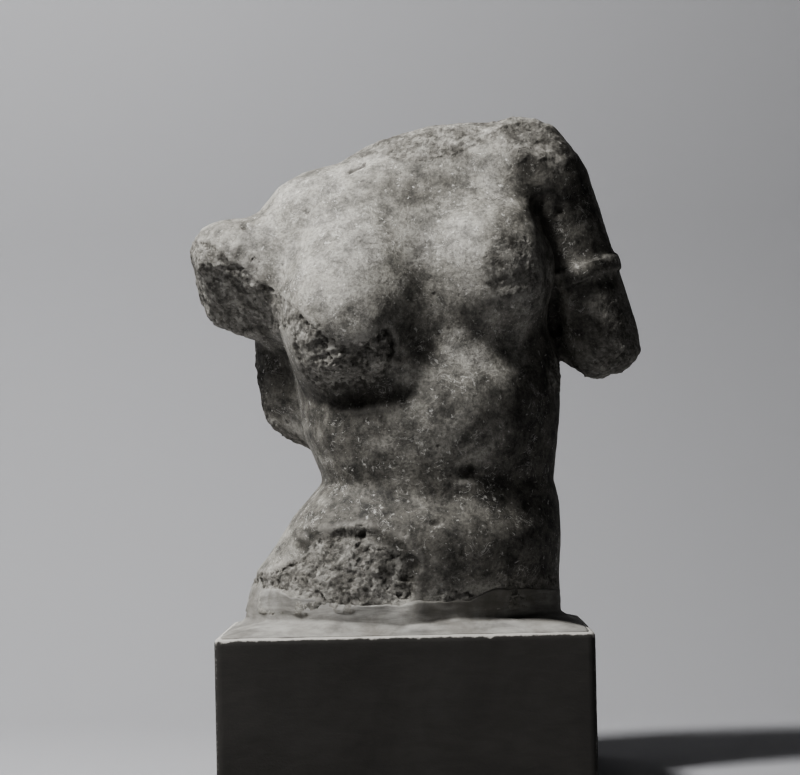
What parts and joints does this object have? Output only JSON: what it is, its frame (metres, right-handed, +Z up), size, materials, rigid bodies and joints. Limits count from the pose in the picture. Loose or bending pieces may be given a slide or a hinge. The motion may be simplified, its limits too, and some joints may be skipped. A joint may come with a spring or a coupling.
{
  "type": "torso sculpture",
  "caption": "Weathered marble torso of a standing woman with a banded upper arm, set in a plaster foot on a block plinth.",
  "frame": {"origin": "middle of the plinth's underside", "axes": "+X to the viewer's right, +Y away from the viewer (the figure faces -Y), +Z up"},
  "size_m": [0.3093, 0.1766, 0.4478],
  "materials": {
    "marble": "weathered, rough at the breaks",
    "plaster": "brushed smooth, matt",
    "painted_plaster": "matt, worn at the edges"
  },
  "bodies": {
    "root": {"torso": "marble", "plaster_foot": "plaster", "plinth": "painted_plaster"}
  },
  "joints": []
}
